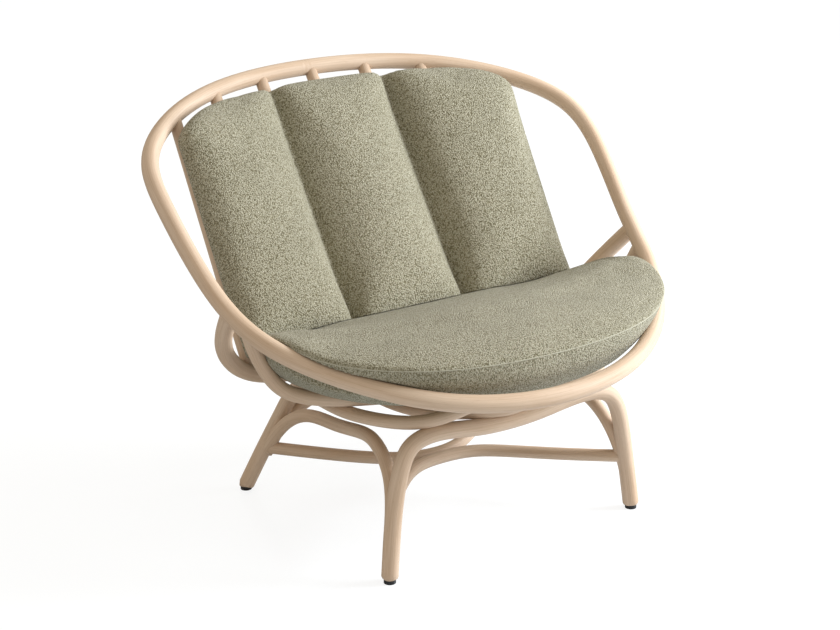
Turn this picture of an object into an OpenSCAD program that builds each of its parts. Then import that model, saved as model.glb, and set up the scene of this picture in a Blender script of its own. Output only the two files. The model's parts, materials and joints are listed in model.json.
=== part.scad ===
/* [Overall] */
// Width over the hoop
chair_w = 988; // [900:1:1080]
// Depth over the hoop, front to back
chair_d = 885; // [820:1:960]
// Height of the hoop's top at the back
back_h = 773; // [720:1:840]
// Height of the hoop's top at the front
rim_h = 359; // [347:1:377]
// Height of the leg arches at their shoulders
base_h = 270; // [255:1:285]

/* [Poles] */
// Diameter of the hoop
hoop_d = 32; // [30:1:34]
// Diameter of the front sling, which hangs from the hoop and carries the seat
front_sling_d = 27; // [25:1:29]
// Diameter of the rear sling, which the spindles stand on
rear_sling_d = 32; // [30:1:34]
// Diameter of the leg arches
leg_d = 31; // [29:1:33]
// Diameter of the two rings on top of the base
ring_d = 25; // [23:1:27]
// Diameter of the side arches and the rear brace
brace_d = 25; // [23:1:26]
// Diameter of the stretchers
stretcher_d = 24; // [22:1:26]
// Diameter of the back spindles
spindle_d = 24; // [20:1:26]
// Diameter of the rods under the seat
seat_rod_d = 20; // [16:1:22]

/* [Spacing] */
// Distance between neighbouring back spindles
spindle_step = 118; // [105:1:122]
// Distance between neighbouring seat rods
seat_rod_step = 100; // [80:1:105]

/* [Joinery] */
// Gap left between two poles where one is shaped to the other
fit_gap = 0.4; // [0.3:0.05:0.6]
// Diameter of the round tenons on the spindles
spindle_tenon_d = 12; // [10:1:14]
// Length of the round tenons on the spindles
spindle_tenon_l = 12; // [8:1:14]
// Diameter of the round tenons on the seat rods
rod_tenon_d = 10; // [8:1:12]
// Length of the round tenons on the seat rods
rod_tenon_l = 10; // [8:1:12]
// Gap round a tenon or a screw in its hole
hole_gap = 0.15; // [0.1:0.05:0.3]
// Diameter of a screw's shank
screw_d = 4; // [3.5:0.5:5]
// Diameter of a screw's head
screw_head_d = 8; // [7:0.5:10]
// Height of a screw's head
screw_head_h = 3; // [2:0.5:4]

/* [Glides] */
// Diameter of the floor glides
glide_d = 22; // [18:1:26]
// Height of the floor glides
glide_h = 8; // [6:1:12]
// Diameter of the glides' pins
glide_pin_d = 6; // [4:1:8]
// Length of the glides' pins
glide_pin_l = 18; // [12:1:25]

/* [Cushions] */
// Height of the seat cushion's crown above its seam
seat_crown = 32; // [20:1:45]
// How far the front of each back channel stands out from the seams between them
back_puff = 68; // [50:1:80]
// Width of the back cushion
back_cushion_w = 772; // [700:1:800]
// Thickness of the padded covers, which are the fabric with its wadding
cover_t = 14; // [10:1:16]
// Length of the zip opening in the rear of the seat's cover
seat_zip_l = 360; // [200:10:450]
// Length of the zip opening behind each channel of the back's cover
back_zip_l = 150; // [100:10:180]
// Gap that keeps the cushions clear of the poles
rest_gap = 0.3; // [0.3:0.1:1]

/* [Hidden] */

// The routes below are drawn with these spans and heights of the hoop's axis, with its middle
// this far behind the feet's, and with this height of the base
drawn_span_x = 956;
drawn_span_y = 853;
drawn_middle_y = 53.3;
drawn_back_z = 757;
drawn_rim_z = 343;
drawn_base_h = 270;
leg_bend_z = 180;
sling_bend_z = 310;
sling_end_z = 450;
stretch_x = (chair_w - hoop_d) / drawn_span_x;
stretch_y = (chair_d - hoop_d) / drawn_span_y;
rim_z = rim_h - hoop_d / 2;
stretch_back = (back_h - hoop_d / 2 - rim_z) / (drawn_back_z - drawn_rim_z);
base_rise = base_h - drawn_base_h;

// Routes of the closed poles: from the back's middle round the right side to the front's middle
hoop_half = [[0, 495, 760], [275, 450, 750], [470, 285, 695], [485, 170, 630], [460, 30, 480],
    [425, -100, 420], [320, -250, 380], [185, -350, 350], [0, -385, 340]];
outer_ring_half = [[0, 242, 238], [132, 222, 243], [226, 165, 249], [264, 87, 256], [269, -4, 266],
    [275, -87, 273], [251, -161, 277], [199, -217, 276], [138, -233, 286], [70, -232, 300],
    [0, -231, 303]];
inner_ring_half = [[0, 212, 237], [78, 196, 240], [136, 140, 250], [166, 63, 257], [170, -31, 260],
    [154, -115, 258], [106, -179, 262], [49, -212, 264], [0, -224, 262]];

// Routes of the open poles: from the left end to the middle. The slings begin on the hoop
front_sling_start_y = -46;
front_sling_half = [[-423, -36, 410], [-398, -32, 358], [-375, -40, 322],
    [-341, -59, 305], [-283, -92, 299], [-203, -131, 300], [-106, -161, 303], [0, -172, 303]];
rear_sling_start_y = -6;
rear_sling_half = [[-432, 66, 392], [-402, 100, 335], [-356, 106, 296],
    [-274, 105, 280], [-150, 106, 281], [0, 106, 282]];
front_arch_half = [[-275, -241, 0], [-260, -230, 130], [-244, -230, 212], [-220, -225, 252],
    [-153, -220, 256], [-78, -215, 239], [0, -212, 233]];
rear_arch_half = [[-303, 242, 0], [-265, 222, 90], [-235, 207, 155], [-210, 202, 202],
    [-169, 200, 219], [-96, 199, 214], [0, 198, 210]];
rear_brace_half = [[-262, 222, 75], [-240, 206, 132], [-206, 200, 163], [-160, 199, 182],
    [-80, 198, 188], [0, 198, 185]];
front_stretcher_half = [[-262, -232, 107], [-198, -135, 90], [-133, -60, 84], [-69, -8, 85],
    [0, 0, 84]];
rear_stretcher_half = [[-268, 222, 88], [-195, 138, 88], [-130, 75, 86], [-66, 30, 84],
    [0, 15, 84]];

// Route of the left side arch, from the rear leg to the front leg
side_arch_route = [[-271, 226, 70], [-242, 186, 150], [-222, 121, 186], [-219, 25, 190],
    [-216, -64, 212], [-231, -134, 221], [-241, -198, 183], [-259, -225, 115], [-269, -232, 59]];

// How far the spindles' lines pass in front of and under the hoop's axis, and the least bend
// of a pole that a rod's end is shaped to
spindle_lead = [0, -4, -3];
least_bend = 3;

// Depth of a screw's head under the surface, and the sizes of hidden dowels
screw_sink = 1;
dowel_d = 8;
dowel_l = 30;
brace_dowel_d = 5;
brace_dowel_reach = 8;
side_dowel_rear_z = 120;
side_dowel_front_z = 140;
brace_dowel_z = 148;

// Outlines of the seat cushion, from the rear's middle round the right side to the front's
// middle: its lower edge, in heights over the plane it rests on, and the seam round its top
seat_base_half = [[0, 98, 0], [150, 98, 0], [245, 92, 0], [312, 62, 4], [345, 5, 6],
    [345, -65, 6], [325, -140, 2], [280, -215, 0], [210, -275, 0], [115, -318, 0],
    [0, -332, 0]];
seat_seam_half = [[0, 130, 346], [150, 132, 346], [262, 124, 350], [338, 98, 374],
    [388, 50, 404], [414, -45, 438], [404, -130, 446], [370, -213, 424], [280, -297, 416],
    [165, -347, 414], [0, -362, 413]];
seat_middle = [0, -110];
seat_bulge = 9;
seat_slope = 0.21;
seat_edge_rise = 8;
core_edge_rise = 3;

// Where the rings of points lie that make the seat's form: shares of its underside, of its wall
// and of its crown, which falls off more steeply with a larger power
under_rings = [0.5, 0.95];
wall_rings = [0, 0.3, 0.65];
crown_rings = [1, 0.95, 0.85, 0.6];
crown_power = 5;

// The cover's wall beside a pole, the depth that the seat keeps free under the hoop, and the
// angle between the points round the hoop's upper half there
pole_wall = 8;
shadow_h = 120;
shadow_turn = 36;

// The back cushion leans on the spindles: how far its seams lie in front of their axes, the
// heights of its lower and upper ends over the base, and how it narrows and rounds off
back_setback = 25;
back_low_z = 75;
back_top_z = 10;
corner_drop = 34;
corner_power = 10;
foot_narrowing = 6;
channel_share = 2 / 3;
channel_round = 2.4;
end_round = 5;
end_swell = 0.45;
back_behind = 10;
seam_half = 2;

// The hollows for the fillings: their share of a channel, their distance in front of the seams,
// the gap round each filling, and the height and place of the zip openings
hollow_share = 0.9;
hollow_lead = 4;
filling_gap = 0.6;
zip_h = 2;
seat_zip_share = 0.6;
back_zip_share = 0.3;

// Small functions on points and routes
function unit(v) = v / norm(v);
function mirrored_x(p) = [-p[0], p[1], p[2]];
function from_half_ring(h) = concat(h, [for (i = [len(h) - 2 : -1 : 1]) mirrored_x(h[i])]);
function from_half(h) = concat(h, [for (i = [len(h) - 2 : -1 : 0]) mirrored_x(h[i])]);
function mix(a, b, t) = a + (b - a) * t;
function at_y(y) = (y - drawn_middle_y) * stretch_y;
function spread(h) = [for (p = h) [p[0] * stretch_x, at_y(p[1]), p[2]]];
function raised(h, by) = [for (p = h) p + [0, 0, by]];

// Heights follow the named heights: on the hoop, on the base, and on the slings between them
function hoop_z(z) = rim_z + (z - drawn_rim_z) * stretch_back;
function base_z(z) = z + base_rise * min(z / leg_bend_z, 1);
function sling_z(z) = mix(base_z(z), hoop_z(z),
    min(max((z - sling_bend_z) / (sling_end_z - sling_bend_z), 0), 1));
function on_hoop(h) = [for (p = spread(h)) [p[0], p[1], hoop_z(p[2])]];
function on_base(h) = [for (p = spread(h)) [p[0], p[1], base_z(p[2])]];
function on_slings(h) = [for (p = spread(h)) [p[0], p[1], sling_z(p[2])]];

// A smooth curve past the points of a route, with steps sections for each
function blend(a, b, c, d, t) = (pow(1 - t, 3) * a + (3 * pow(t, 3) - 6 * t * t + 4) * b
    + (-3 * pow(t, 3) + 3 * t * t + 3 * t + 1) * c + pow(t, 3) * d) / 6;
function closed_curve(r, steps) = let (n = len(r))
    [for (i = [0 : n - 1], k = [0 : steps - 1])
        blend(r[(i + n - 1) % n], r[i], r[(i + 1) % n], r[(i + 2) % n], k / steps)];
function open_curve(r, steps) = let (n = len(r),
    e = concat([2 * r[0] - r[1]], r, [2 * r[n - 1] - r[n - 2]]))
    concat([for (i = [0 : n - 2], k = [0 : steps - 1])
        blend(e[i], e[i + 1], e[i + 2], e[i + 3], k / steps)], [r[n - 1]]);

// Where a curve passes a value on an axis, counted along it
function passing(curve, axis, value) = [for (i = [0 : len(curve) - 2])
    if ((curve[i][axis] - value) * (curve[i + 1][axis] - value) <= 0) i][0];
function point_at(curve, axis, value) = let (i = passing(curve, axis, value),
    a = curve[i], b = curve[i + 1]) a + (value - a[axis]) / (b[axis] - a[axis]) * (b - a);

// The curves themselves
hoop_curve = closed_curve(from_half_ring(on_hoop(hoop_half)), 4);
function slung(start_y, half) =
    open_curve(from_half(concat([from_hoop(start_y)], on_slings(half))), 4);
function from_hoop(y) = mirrored_x(point_at(hoop_curve, 1, at_y(y)));
front_sling_curve = slung(front_sling_start_y, front_sling_half);
rear_sling_curve = slung(rear_sling_start_y, rear_sling_half);
front_arch_curve = open_curve(from_half(on_base(front_arch_half)), 4);
rear_arch_curve = open_curve(from_half(on_base(rear_arch_half)), 4);
rear_brace_curve = open_curve(from_half(on_base(rear_brace_half)), 3);
front_stretcher_curve = open_curve(from_half(on_base(front_stretcher_half)), 3);
rear_stretcher_curve = open_curve(from_half(on_base(rear_stretcher_half)), 3);
side_arch_curve = open_curve(on_base(side_arch_route), 4);
outer_ring_curve = closed_curve(from_half_ring(on_base(outer_ring_half)), 3);
inner_ring_curve = closed_curve(from_half_ring(on_base(inner_ring_half)), 3);

// A round pole along a curve. The sections stand square to it, and never lie along side_on.
// An open pole's last sections are thinner, because they lie inside the pole that it ends at
module pole(curve, d, side_on, closed = false, end_share = 0.85, sides = 12) {
    n = len(curve);
    ahead = [for (i = [0 : n - 1]) curve[closed ? (i + 1) % n : min(i + 1, n - 1)]];
    behind = [for (i = [0 : n - 1]) curve[closed ? (i + n - 1) % n : max(i - 1, 0)]];
    points = [for (i = [0 : n - 1])
        let (t = unit(ahead[i] - behind[i]), u = unit(cross(side_on, t)), v = cross(t, u),
            r = d / 2 * (!closed && (i == 0 || i == n - 1) ? end_share : 1))
        for (k = [0 : sides - 1])
            curve[i] + r * (cos(360 * k / sides) * u + sin(360 * k / sides) * v)];
    walls = [for (i = [0 : (closed ? n - 1 : n - 2)], k = [0 : sides - 1])
        let (a = i * sides, b = (i + 1) % n * sides, m = (k + 1) % sides)
        each [[a + k, b + m, a + m], [a + k, b + k, b + m]]];
    ends = [[for (k = [0 : sides - 1]) k], [for (k = [sides - 1 : -1 : 0]) (n - 1) * sides + k]];
    polyhedron(points = points, faces = closed ? walls : concat(walls, ends), convexity = 12);
}

module hoop_pole(more = 0) { pole(hoop_curve, hoop_d + more, [0, -0.45, 0.9], true); }
module front_arch_pole(more = 0) { pole(front_arch_curve, leg_d + more, [0, 1, 0], false, 1); }
module rear_arch_pole(more = 0) { pole(rear_arch_curve, leg_d + more, [0, 1, 0], false, 1); }
module outer_ring_pole(more = 0) { pole(outer_ring_curve, ring_d + more, [0, 0, 1], true); }
module inner_ring_pole(more = 0) { pole(inner_ring_curve, ring_d + more, [0, 0, 1], true); }

module front_sling_pole(more = 0) { pole(front_sling_curve, front_sling_d + more, [0, 1, 0]); }
module rear_sling_pole(more = 0) { pole(rear_sling_curve, rear_sling_d + more, [0, 1, 0]); }
module side_arch_pole(more = 0) { pole(side_arch_curve, brace_d + more, [1, 0, 0]); }
module rear_brace_pole(more = 0) { pole(rear_brace_curve, brace_d + more, [0, 1, 0]); }
module front_stretcher_pole(more = 0) {
    pole(front_stretcher_curve, stretcher_d + more, [0, 0, 1]);
}

// The point of curve a that is nearest to curve b, on the right side of the chair
function direction(curve, i) = unit(curve[i + 1] - curve[i - 1]);
function meeting(a, b) = let (
    gaps = [for (i = [1 : len(a) - 2]) if (a[i][0] > 0) for (j = [1 : len(b) - 2])
        [norm(a[i] - b[j]), i, j]],
    least = min([for (g = gaps) g[0]]),
    g = [for (g = gaps) if (g[0] == least) g][0],
    u = direction(a, g[1]), v = direction(b, g[2]), w = b[g[2]] - a[g[1]],
    s = (w * u - (w * v) * (u * v)) / (1 - (u * v) * (u * v)))
    a[g[1]] + s * u;

// A rod from one point to another, made longer at both ends by more
module rod(from, to, d, more = 0) {
    way = to - from;
    l = norm(way);
    translate(from) rotate([0, acos(way[2] / l), atan2(way[1], way[0])])
        translate([0, 0, -more]) cylinder(d = d, h = l + 2 * more, $fn = 32);
}

// The point where a curve that is the same on both sides passes x, and what a rod of diameter
// across is cut by there: a short straight length of the pole, or where it bends the pole itself
function at_x(curve, x) = let (p = point_at(curve, 0, abs(x))) [x, p[1], p[2]];
module pole_near(curve, d, x, across) {
    a = at_x(curve, x - across);
    b = at_x(curve, x + across);
    middle = at_x(curve, x);
    bent = unit(middle - a) * unit(b - middle) < cos(least_bend);
    if (bent) children();
    else rod(a, b, d);
}

module both_sides() {
    children();
    mirror([1, 0, 0]) children();
}

// Back spindles, between the hoop and the rear sling, for a spindle on the right side
function spindle_top(x) = at_x(hoop_curve, x) + spindle_lead;
function spindle_foot(x) = at_x(rear_sling_curve, x);
function spindle_way(x) = unit(spindle_top(x) - spindle_foot(x));
function hoop_seat(x) = spindle_top(x) - spindle_way(x) * hoop_d / 2;
function sling_seat(x) = spindle_foot(x) + spindle_way(x) * rear_sling_d / 2;

module spindle_tenons(x, more = 0) {
    top = hoop_seat(x);
    foot = sling_seat(x);
    way = spindle_way(x);
    rod(top - way * spindle_d, top + way * spindle_tenon_l, spindle_tenon_d + more, more / 2);
    rod(foot - way * spindle_tenon_l, foot + way * spindle_d, spindle_tenon_d + more, more / 2);
}

module spindle_on_right(x) {
    difference() {
        rod(spindle_foot(x), spindle_top(x), spindle_d);
        pole_near(hoop_curve, hoop_d + 2 * fit_gap, x, spindle_d) hoop_pole(2 * fit_gap);
        pole_near(rear_sling_curve, rear_sling_d + 2 * fit_gap, x, spindle_d)
            rear_sling_pole(2 * fit_gap);
    }
    spindle_tenons(x);
}

module spindle(place) {
    color("burlywood")
    if (place < 0) mirror([1, 0, 0]) spindle_on_right(-place * spindle_step);
    else spindle_on_right(place * spindle_step);
}

module spindle_holes() {
    for (place = [0 : 3]) both_sides() spindle_tenons(place * spindle_step, 2 * hole_gap);
}

// Seat rods, between the two slings, for a rod on the right side
function rod_front(x) = point_at(front_sling_curve, 0, x);
function rod_rear(x) = point_at(rear_sling_curve, 0, x);
function rod_way(x) = unit(rod_rear(x) - rod_front(x));

module seat_rod_tenons(x, more = 0) {
    way = rod_way(x);
    front = rod_front(x) + way * front_sling_d / 2;
    rear = rod_rear(x) - way * rear_sling_d / 2;
    rod(front - way * rod_tenon_l, front + way * seat_rod_d, rod_tenon_d + more, more / 2);
    rod(rear - way * seat_rod_d, rear + way * rod_tenon_l, rod_tenon_d + more, more / 2);
}

module seat_rod_on_right(x) {
    difference() {
        rod(rod_front(x), rod_rear(x), seat_rod_d);
        pole_near(front_sling_curve, front_sling_d + 2 * fit_gap, x, seat_rod_d)
            front_sling_pole(2 * fit_gap);
        pole_near(rear_sling_curve, rear_sling_d + 2 * fit_gap, x, seat_rod_d)
            rear_sling_pole(2 * fit_gap);
    }
    seat_rod_tenons(x);
}

module seat_rod(place) {
    color("burlywood")
    if (place < 0) mirror([1, 0, 0]) seat_rod_on_right(-place * seat_rod_step);
    else seat_rod_on_right(place * seat_rod_step);
}

module seat_rod_holes() {
    for (place = [0 : 2]) both_sides() seat_rod_tenons(place * seat_rod_step, 2 * hole_gap);
}

// Screws that go straight down through an upper pole of radius r into the pole under it
module screw_down(axis_point, r, more = 0) {
    top = axis_point[2] + r - screw_sink;
    translate([axis_point[0], axis_point[1], top - screw_head_h])
        cylinder(d = screw_head_d + more, h = screw_head_h + (more > 0 ? hoop_d : 0), $fn = 24);
    translate([axis_point[0], axis_point[1], top - screw_head_h - 2 * r - more / 2])
        cylinder(d = screw_d + more, h = 2 * r + more / 2 + screw_head_h / 2, $fn = 24);
}

module ring_screws_all(more = 0) {
    for (arch = [front_arch_curve, rear_arch_curve]) both_sides() {
        screw_down(meeting(outer_ring_curve, arch), ring_d / 2, more);
        screw_down(meeting(inner_ring_curve, arch), ring_d / 2, more);
    }
}

module sling_screws_all(more = 0) {
    both_sides() {
        screw_down(meeting(front_sling_curve, outer_ring_curve), front_sling_d / 2, more);
        screw_down(meeting(rear_sling_curve, outer_ring_curve), rear_sling_d / 2, more);
        screw_down(meeting(rear_sling_curve, inner_ring_curve), rear_sling_d / 2, more);
    }
}

// The front stretcher passes in front of the rear one, and a level screw holds them together
stretcher_mid = [for (p = front_stretcher_curve) if (p[0] == 0) p][0];
module stretcher_screw_all(more = 0) {
    head_y = stretcher_mid[1] - stretcher_d / 2 + screw_sink;
    translate([0, head_y, stretcher_mid[2]]) rotate([-90, 0, 0]) {
        translate([0, 0, more > 0 ? -hoop_d : 0])
            cylinder(d = screw_head_d + more, h = screw_head_h + (more > 0 ? hoop_d : 0), $fn = 24);
        translate([0, 0, screw_head_h / 2])
            cylinder(d = screw_d + more, h = 1.5 * stretcher_d + more / 2, $fn = 24);
    }
}

// Hidden dowels where the end of a curve meets the side of another pole
module end_dowel(curve, seat, more = 0) {
    way = unit(curve[2] - curve[0]);
    middle = curve[0] + way * seat;
    rod(middle - way * dowel_l / 2, middle + way * dowel_l / 2, dowel_d + more, more / 2);
}

module hoop_dowels_all(more = 0) {
    both_sides() {
        end_dowel(front_sling_curve, hoop_d / 2, more);
        end_dowel(rear_sling_curve, hoop_d / 2, more);
    }
}

module stretcher_dowels_all(more = 0) {
    both_sides() {
        end_dowel(front_stretcher_curve, leg_d / 2, more);
        end_dowel(rear_stretcher_curve, leg_d / 2, more);
    }
}

// Level dowels from the legs into the thin ends of the braces
module leg_dowel(leg, brace, z, more = 0) {
    start = point_at(leg, 2, z);
    end = point_at(brace, 2, z);
    rod(start, end + unit(end - start) * brace_dowel_reach, brace_dowel_d + more, more / 2);
}

function reversed(curve) = [for (i = [len(curve) - 1 : -1 : 0]) curve[i]];

module brace_dowels_all(more = 0) {
    both_sides() {
        leg_dowel(rear_arch_curve, side_arch_curve, side_dowel_rear_z, more);
        leg_dowel(front_arch_curve, reversed(side_arch_curve), side_dowel_front_z, more);
        leg_dowel(rear_arch_curve, rear_brace_curve, brace_dowel_z, more);
    }
}

// Feet
module under_feet() {
    translate([-chair_w, -chair_d, -glide_h])
        cube([2 * chair_w, 2 * chair_d, 2 * glide_h]);
}

module glide_pins(more = 0) {
    for (arch = [front_arch_curve, rear_arch_curve]) both_sides() {
        foot = point_at(arch, 2, glide_h);
        translate([foot[0], foot[1], glide_h / 2])
            cylinder(d = glide_pin_d + more, h = glide_h / 2 + glide_pin_l + more, $fn = 24);
    }
}

module floor_glides() {
    color("dimgray") {
        glide_pins();
        for (arch = [front_arch_curve, rear_arch_curve]) both_sides() {
            foot = point_at(arch, 2, glide_h);
            translate([foot[0], foot[1], 0]) cylinder(d = glide_d, h = glide_h, $fn = 32);
        }
    }
}

module hoop() {
    color("tan") difference() {
        hoop_pole();
        spindle_holes();
        hoop_dowels_all(2 * hole_gap);
    }
}

module front_sling() {
    color("burlywood") difference() {
        front_sling_pole();
        hoop_pole(2 * fit_gap);
        outer_ring_pole(2 * fit_gap);
        seat_rod_holes();
        sling_screws_all(2 * hole_gap);
        hoop_dowels_all(2 * hole_gap);
    }
}

module rear_sling() {
    color("burlywood") difference() {
        rear_sling_pole();
        hoop_pole(2 * fit_gap);
        outer_ring_pole(2 * fit_gap);
        inner_ring_pole(2 * fit_gap);
        spindle_holes();
        seat_rod_holes();
        sling_screws_all(2 * hole_gap);
        hoop_dowels_all(2 * hole_gap);
    }
}

module front_leg_arch() {
    color("tan") difference() {
        front_arch_pole();
        under_feet();
        glide_pins(2 * hole_gap);
        ring_screws_all(2 * hole_gap);
        stretcher_dowels_all(2 * hole_gap);
        brace_dowels_all(2 * hole_gap);
    }
}

module rear_leg_arch() {
    color("tan") difference() {
        rear_arch_pole();
        under_feet();
        glide_pins(2 * hole_gap);
        ring_screws_all(2 * hole_gap);
        stretcher_dowels_all(2 * hole_gap);
        brace_dowels_all(2 * hole_gap);
    }
}

module left_side_arch() {
    color("burlywood") difference() {
        side_arch_pole();
        front_arch_pole(2 * fit_gap);
        rear_arch_pole(2 * fit_gap);
        brace_dowels_all(2 * hole_gap);
        stretcher_dowels_all(2 * hole_gap);
    }
}
module right_side_arch() { mirror([1, 0, 0]) left_side_arch(); }

module rear_brace() {
    color("burlywood") difference() {
        rear_brace_pole();
        rear_arch_pole(2 * fit_gap);
        both_sides() side_arch_pole(2 * fit_gap);
        brace_dowels_all(2 * hole_gap);
        stretcher_dowels_all(2 * hole_gap);
    }
}

module outer_ring() {
    color("burlywood") difference() {
        outer_ring_pole();
        front_arch_pole(2 * fit_gap);
        rear_arch_pole(2 * fit_gap);
        ring_screws_all(2 * hole_gap);
        sling_screws_all(2 * hole_gap);
    }
}

module inner_ring() {
    color("burlywood") difference() {
        inner_ring_pole();
        front_arch_pole(2 * fit_gap);
        rear_arch_pole(2 * fit_gap);
        ring_screws_all(2 * hole_gap);
        sling_screws_all(2 * hole_gap);
    }
}

module front_stretcher() {
    color("tan") difference() {
        front_stretcher_pole();
        front_arch_pole(2 * fit_gap);
        both_sides() side_arch_pole(2 * fit_gap);
        stretcher_screw_all(2 * hole_gap);
        stretcher_dowels_all(2 * hole_gap);
    }
}

module rear_stretcher() {
    color("tan") difference() {
        pole(rear_stretcher_curve, stretcher_d, [0, 0, 1]);
        rear_arch_pole(2 * fit_gap);
        both_sides() side_arch_pole(2 * fit_gap);
        rear_brace_pole(2 * fit_gap);
        front_stretcher_pole(2 * fit_gap);
        stretcher_screw_all(2 * hole_gap);
        stretcher_dowels_all(2 * hole_gap);
    }
}

module ring_screws() { color("silver") ring_screws_all(); }
module sling_screws() { color("silver") sling_screws_all(); }
module stretcher_screw() { color("silver") stretcher_screw_all(); }
module hoop_dowels() { color("wheat") hoop_dowels_all(); }
module stretcher_dowels() { color("wheat") stretcher_dowels_all(); }
module brace_dowels() { color("wheat") brace_dowels_all(); }

// Each spindle and each seat rod by name
module spindle_far_left() { spindle(-3); }
module spindle_left() { spindle(-2); }
module spindle_mid_left() { spindle(-1); }
module spindle_centre() { spindle(0); }
module spindle_mid_right() { spindle(1); }
module spindle_right() { spindle(2); }
module spindle_far_right() { spindle(3); }
module seat_rod_far_left() { seat_rod(-2); }
module seat_rod_left() { seat_rod(-1); }
module seat_rod_centre() { seat_rod(0); }
module seat_rod_right() { seat_rod(1); }
module seat_rod_far_right() { seat_rod(2); }

// Cushions
function seat_line(half, steps) = closed_curve(from_half_ring(spread(half)), steps);

// The seat rests on the slings' tops
front_top = point_at(front_sling_curve, 0, 0) + [0, 0, front_sling_d / 2];
rear_top = point_at(rear_sling_curve, 0, 0) + [0, 0, rear_sling_d / 2];
function seat_floor(y) = rest_gap
    + mix(front_top[2], rear_top[2], (y - front_top[1]) / (rear_top[1] - front_top[1]));

// A closed form from rings of points, lowest first, each with as many points
module ring_stack(rings) {
    n = len(rings[0]);
    last = len(rings) - 1;
    low = [for (p = rings[0]) 1] * rings[0] / n;
    high = [for (p = rings[last]) 1] * rings[last] / n;
    points = concat([for (r = rings) each r], [low, high]);
    faces = [for (k = [0 : n - 1]) let (m = (k + 1) % n) each concat(
        [for (i = [0 : last - 1]) each [[i * n + k, i * n + m, (i + 1) * n + m],
            [i * n + k, (i + 1) * n + m, (i + 1) * n + k]]],
        [[m, k, (last + 1) * n], [last * n + k, last * n + m, (last + 1) * n + 1]])];
    polyhedron(points = points, faces = faces, convexity = 8);
}

// The seat cushion's form, drawn in by inset, with a crown and swelling sides. Its walls are
// drawn in by more than its top
module seat_form(inset = 0, steps = 3, more = 0) {
    base = seat_line(seat_base_half, steps);
    seam = seat_line(raised(seat_seam_half, base_rise), steps);
    n = len(base);
    front = min([for (p = seam) p[1]]);
    crown_z = seat_seam_half[len(seat_seam_half) - 1][2] + base_rise + seat_crown;
    middle = [seat_middle[0], at_y(seat_middle[1]), 0];
    edge_rise = inset > 0 ? core_edge_rise : seat_edge_rise;
    function flat(p) = [p[0], p[1], 0];
    function outward(p) = unit(flat(p) - middle);
    function drawn_in(p) = flat(p - outward(p) * (inset + more));
    function top_z(p) = crown_z - (p[1] - front) * seat_slope - inset;
    function seam_z(i) = min(seam[i][2] - inset, inset > 0 ? top_z(seam[i]) : seam[i][2]);
    function foot_z(i) = seat_floor(base[i][1]) + base[i][2] + edge_rise + inset;
    function wall_top(i) = mix(drawn_in(base[i]), drawn_in(seam[i]),
        (seam_z(i) - foot_z(i)) / (seam[i][2] - inset - foot_z(i)));
    function lifted(p, z) = [p[0], p[1], z];
    function under(i, share) = let (p = mix(middle, drawn_in(base[i]), share))
        lifted(p, seat_floor(p[1]) + inset);
    function wall(i, t) = let (p = mix(drawn_in(base[i]), wall_top(i), t)
        + outward(base[i]) * seat_bulge * sin(180 * t)) lifted(p, mix(foot_z(i), seam_z(i), t));
    function over(i, share) = let (p = mix(middle, wall_top(i), share))
        lifted(p, mix(top_z(p), seam_z(i), pow(share, crown_power)));
    ring_stack([for (share = under_rings) [for (i = [0 : n - 1]) under(i, share)],
        for (t = wall_rings) [for (i = [0 : n - 1]) wall(i, t)],
        for (share = crown_rings) [for (i = [0 : n - 1]) over(i, share)]]);
}

// The hoop with all that lies straight under it, where the seat cushion has no part, so that
// the cushion can be lifted out
module hoop_shadow(gap) {
    n = len(hoop_curve);
    r = (hoop_d / 2 + gap) / cos(shadow_turn / 2);
    points = [for (i = [0 : n - 1])
        let (t = unit(hoop_curve[(i + 1) % n] - hoop_curve[(i + n - 1) % n]),
            u = unit(cross([0, 0, 1], t)), v = cross(t, u), p = hoop_curve[i])
        each concat([for (a = [0 : shadow_turn : 180]) p + r * (cos(a) * u + sin(a) * v)],
            [p - r * u - [0, 0, shadow_h], p + r * u - [0, 0, shadow_h]])];
    sides = len(points) / n;
    walls = [for (i = [0 : n - 1], k = [0 : sides - 1])
        let (a = i * sides, b = (i + 1) % n * sides, m = (k + 1) % sides)
        each [[a + k, b + m, a + m], [a + k, b + k, b + m]]];
    polyhedron(points = points, faces = walls, convexity = 12);
}

// What the seat cushion keeps clear of
module beside_seat(gap) {
    hoop_shadow(gap);
    front_sling_pole(2 * gap);
    rear_sling_pole(2 * gap);
}
module all_spindles(gap) {
    for (place = [0 : 3]) both_sides()
        rod(spindle_foot(place * spindle_step), spindle_top(place * spindle_step),
            spindle_d + 2 * gap);
}

// A zip opening: a slit in the rear wall of a cover, from its hollow to the outside
module zip_slit(at, l, tilt = 0) {
    translate(at) rotate([tilt, 0, 0])
        translate([-l / 2, -2 * cover_t, -zip_h / 2]) cube([l, 4 * cover_t, zip_h]);
}

module seat_cover() {
    rear = max([for (p = seat_line(seat_base_half, 3)) p[1]]);
    low = seat_floor(rear) + cover_t;
    high = seat_seam_half[0][2] + base_rise - cover_t;
    color("darkkhaki") difference() {
        seat_form();
        beside_seat(rest_gap);
        all_spindles(rest_gap);
        difference() {
            seat_form(cover_t, 2);
            beside_seat(pole_wall);
        }
        zip_slit([0, rear, mix(low, high, seat_zip_share)], seat_zip_l);
    }
}

module seat_core() {
    color("ivory") difference() {
        seat_form(cover_t + filling_gap, 2, 2 * filling_gap);
        beside_seat(pole_wall + filling_gap);
    }
}

// How far a channel stands out at s, from -1 at its left seam to 1 at its right seam, and how
// it draws in towards its lower and upper end
function channel(s) = pow(max(1 - pow(abs(s), channel_round), 0), 0.5);
function drawn(v) = mix(end_swell, 1, pow(1 - pow(abs(2 * v - 1), end_round), 0.5));

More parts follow.
